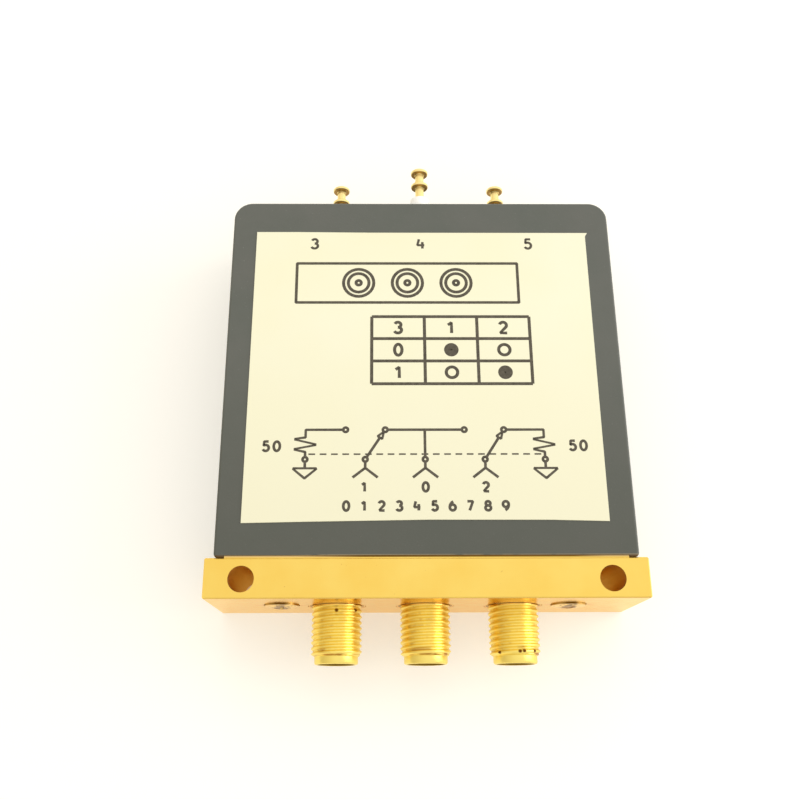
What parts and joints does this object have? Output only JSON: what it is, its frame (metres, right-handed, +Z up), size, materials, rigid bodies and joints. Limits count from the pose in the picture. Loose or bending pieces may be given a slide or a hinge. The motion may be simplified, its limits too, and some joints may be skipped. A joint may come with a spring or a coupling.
{
  "type": "coaxial antenna switch",
  "caption": "Small solid-state coaxial antenna switch: plated front bar with threaded jacks and mounting holes, painted cover with a label, turret solder terminals behind.",
  "frame": {"origin": "under the middle of the whole object, on the surface that it rests on", "axes": "+X to the right seen from the jacks' side, +Y from the jacks towards the terminals, +Z up"},
  "size_m": [0.054, 0.0688, 0.0149],
  "materials": {
    "gold_plating": "gold plate over brass, satin, with fine machining marks",
    "contact_gold": "bright gold plate",
    "cover_paint": "satin dark grey paint with a fine texture",
    "label_film": "cream printed film, satin",
    "ptfe": "machined white fluoropolymer",
    "screw_steel": "passivated stainless steel",
    "chassis_plating": "machined, chemically plated",
    "absorber_rubber": "matt, loaded silicone sheet",
    "rf_laminate": "pale microwave laminate",
    "board_laminate": "green solder mask",
    "chip_moulding": "moulded black epoxy",
    "capacitor_moulding": "moulded ochre epoxy",
    "resistor_ceramic": "alumina with a dark film",
    "capacitor_ceramic": "unglazed tan ceramic",
    "bead_glass": "fused seal glass",
    "tinned_wire": "bright tin over copper"
  },
  "bodies": {
    "root": {"bias_beads": "bead_glass", "bias_capacitor": "capacitor_moulding", "bias_pins": "contact_gold", "board_screws": "screw_steel", "chassis": "chassis_plating", "chip_capacitors": "capacitor_ceramic", "chip_resistors": "resistor_ceramic", "common_bead": "ptfe", "common_contact": "contact_gold", "common_shell": "gold_plating", "control_insulator": "ptfe", "control_lead": "tinned_wire", "control_terminal": "gold_plating", "cover_can": "cover_paint", "cover_screws": "screw_steel", "dc_blocks": "capacitor_ceramic", "driver_board": "board_laminate", "driver_ic": "chip_moulding", "front_block": "gold_plating", "front_screws": "screw_steel", "ground_bushing": "gold_plating", "ground_lead": "tinned_wire", "ground_terminal": "gold_plating", "inverter_ic": "chip_moulding", "label": "label_film", "lid_screws": "screw_steel", "port_1_bead": "ptfe", "port_1_contact": "contact_gold", "port_1_shell": "gold_plating", "port_2_bead": "ptfe", "port_2_contact": "contact_gold", "port_2_shell": "gold_plating", "protection_diode": "chip_moulding", "regulator": "chip_moulding", "rf_absorber": "absorber_rubber", "rf_board": "rf_laminate", "rf_lid": "chassis_plating", "rf_traces": "contact_gold", "supply_capacitor": "capacitor_moulding", "supply_insulator": "ptfe", "supply_lead": "tinned_wire", "supply_terminal": "gold_plating", "switch_chip_1": "chip_moulding", "switch_chip_2": "chip_moulding", "termination_1": "resistor_ceramic", "termination_2": "resistor_ceramic"}
  },
  "joints": []
}
